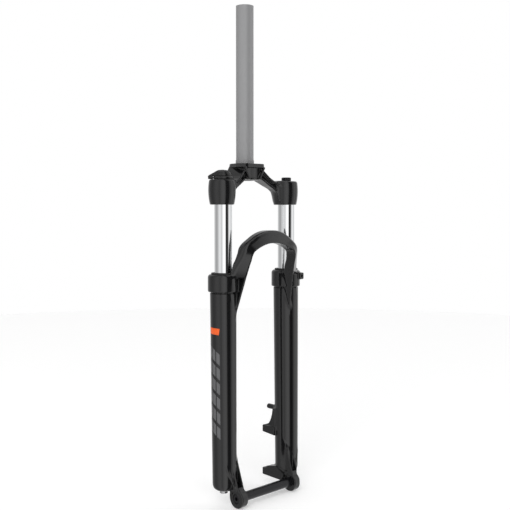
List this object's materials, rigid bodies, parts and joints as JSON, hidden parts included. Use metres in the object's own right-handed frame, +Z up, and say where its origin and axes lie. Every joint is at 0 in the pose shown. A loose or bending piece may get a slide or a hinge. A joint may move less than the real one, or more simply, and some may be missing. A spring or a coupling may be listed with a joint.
{
  "type": "suspension fork",
  "caption": "Telescopic bicycle suspension fork: straight steerer, forged crown, chromed stanchions, one-piece black lower casting with arch, coil spring, lockout damper and thru axle.",
  "frame": {"origin": "centre of the crown race seat, on the steerer's axis at the top face of the crown", "axes": "+Z up along the steerer, -Y forwards (the way the bicycle rides), +X to the rider's left"},
  "size_m": [0.191, 0.0895, 0.8017],
  "materials": {
    "steerer_alloy": "fine blasted, matte light grey",
    "black_paint": "gloss black paint over a smooth magnesium or aluminium casting",
    "stanchion_chrome": "hard chrome, polished",
    "black_anodised": "black anodised, satin",
    "black_plastic": "moulded, satin",
    "dark_plastic": "moulded, matte",
    "guide_plastic": "turned acetal, matte",
    "spring_steel": "painted spring wire, satin",
    "steel": "zinc plated, satin",
    "plain_alloy": "turned, satin",
    "brass": "turned, satin",
    "bushing_bronze": "bronze backed bearing liner, matte",
    "black_rubber": "smooth, matte",
    "orange_rubber": "cast elastomer, satin",
    "foam": "oiled open-cell foam"
  },
  "bodies": {
    "crown_assembly": {"steerer_tube": "steerer_alloy", "crown": "black_paint", "stanchion_left": "stanchion_chrome", "stanchion_right": "stanchion_chrome", "preload_cap": "black_anodised", "lockout_cap": "black_plastic", "coil_spring": "spring_steel", "rod_guide_left": "guide_plastic", "rod_guide_right": "guide_plastic", "circlip_left": "steel", "circlip_right": "steel", "top_out_bumper_left": "orange_rubber", "top_out_bumper_right": "orange_rubber", "damper_tube": "plain_alloy", "valve_body": "brass", "seal_head": "black_plastic"},
    "lowers": {"lower_casting": "black_paint", "wiper_seal_left": "black_rubber", "wiper_seal_right": "black_rubber", "foam_ring_left": "foam", "foam_ring_right": "foam", "upper_bushing_left": "bushing_bronze", "upper_bushing_right": "bushing_bronze", "lower_bushing_left": "bushing_bronze", "lower_bushing_right": "bushing_bronze", "bottom_out_bumper_left": "orange_rubber", "bottom_out_bumper_right": "orange_rubber", "spring_rod": "plain_alloy", "spring_seat": "dark_plastic", "damper_rod": "steel", "damper_piston": "brass", "piston_nut": "steel", "foot_bolt_left": "steel", "foot_bolt_right": "steel", "foot_washer_left": "brass", "foot_washer_right": "brass"},
    "preload_adjuster": {"preload_knob": "black_anodised", "preload_screw": "steel"},
    "preload_follower": {"preload_plunger": "dark_plastic"},
    "lockout": {"lockout_lever": "black_plastic", "lockout_screw": "steel", "lockout_shaft": "plain_alloy", "valve_disc": "steel"},
    "axle_slide": {"axle_oring": "black_rubber"},
    "axle": {"thru_axle": "black_anodised"}
  },
  "joints": [
    {"name": "suspension_travel", "type": "slide", "parent": "crown_assembly", "child": "lowers", "axis": [0, 0, 1], "range_m": [0, 0.1], "stiffness_N_per_m": 6000, "springref_m": -0.01, "deforming": ["coil_spring"]},
    {"name": "preload_turn", "type": "hinge", "parent": "crown_assembly", "child": "preload_adjuster", "pos_m": [0.0715, -0.0258, -0.021], "axis": [0, 0, -1], "range_deg": [0, 1440]},
    {"name": "preload_travel", "type": "slide", "parent": "crown_assembly", "child": "preload_follower", "axis": [0, 0, -1], "range_m": [0, 0.008], "deforming": ["coil_spring"]},
    {"name": "lockout_turn", "type": "hinge", "parent": "crown_assembly", "child": "lockout", "pos_m": [-0.0715, -0.0258, -0.0226], "axis": [0, 0, 1], "range_deg": [0, 90]},
    {"name": "axle_withdraw", "type": "slide", "parent": "lowers", "child": "axle_slide", "axis": [-1, 0, 0], "range_m": [0, 0.14]},
    {"name": "axle_turn", "type": "hinge", "parent": "axle_slide", "child": "axle", "pos_m": [0, -0.0488, -0.5312], "axis": [1, 0, 0], "continuous": true}
  ],
  "couplings": [
    {"joint": "preload_turn", "follows": "preload_travel", "rad_per_m": 3141.6}
  ]
}
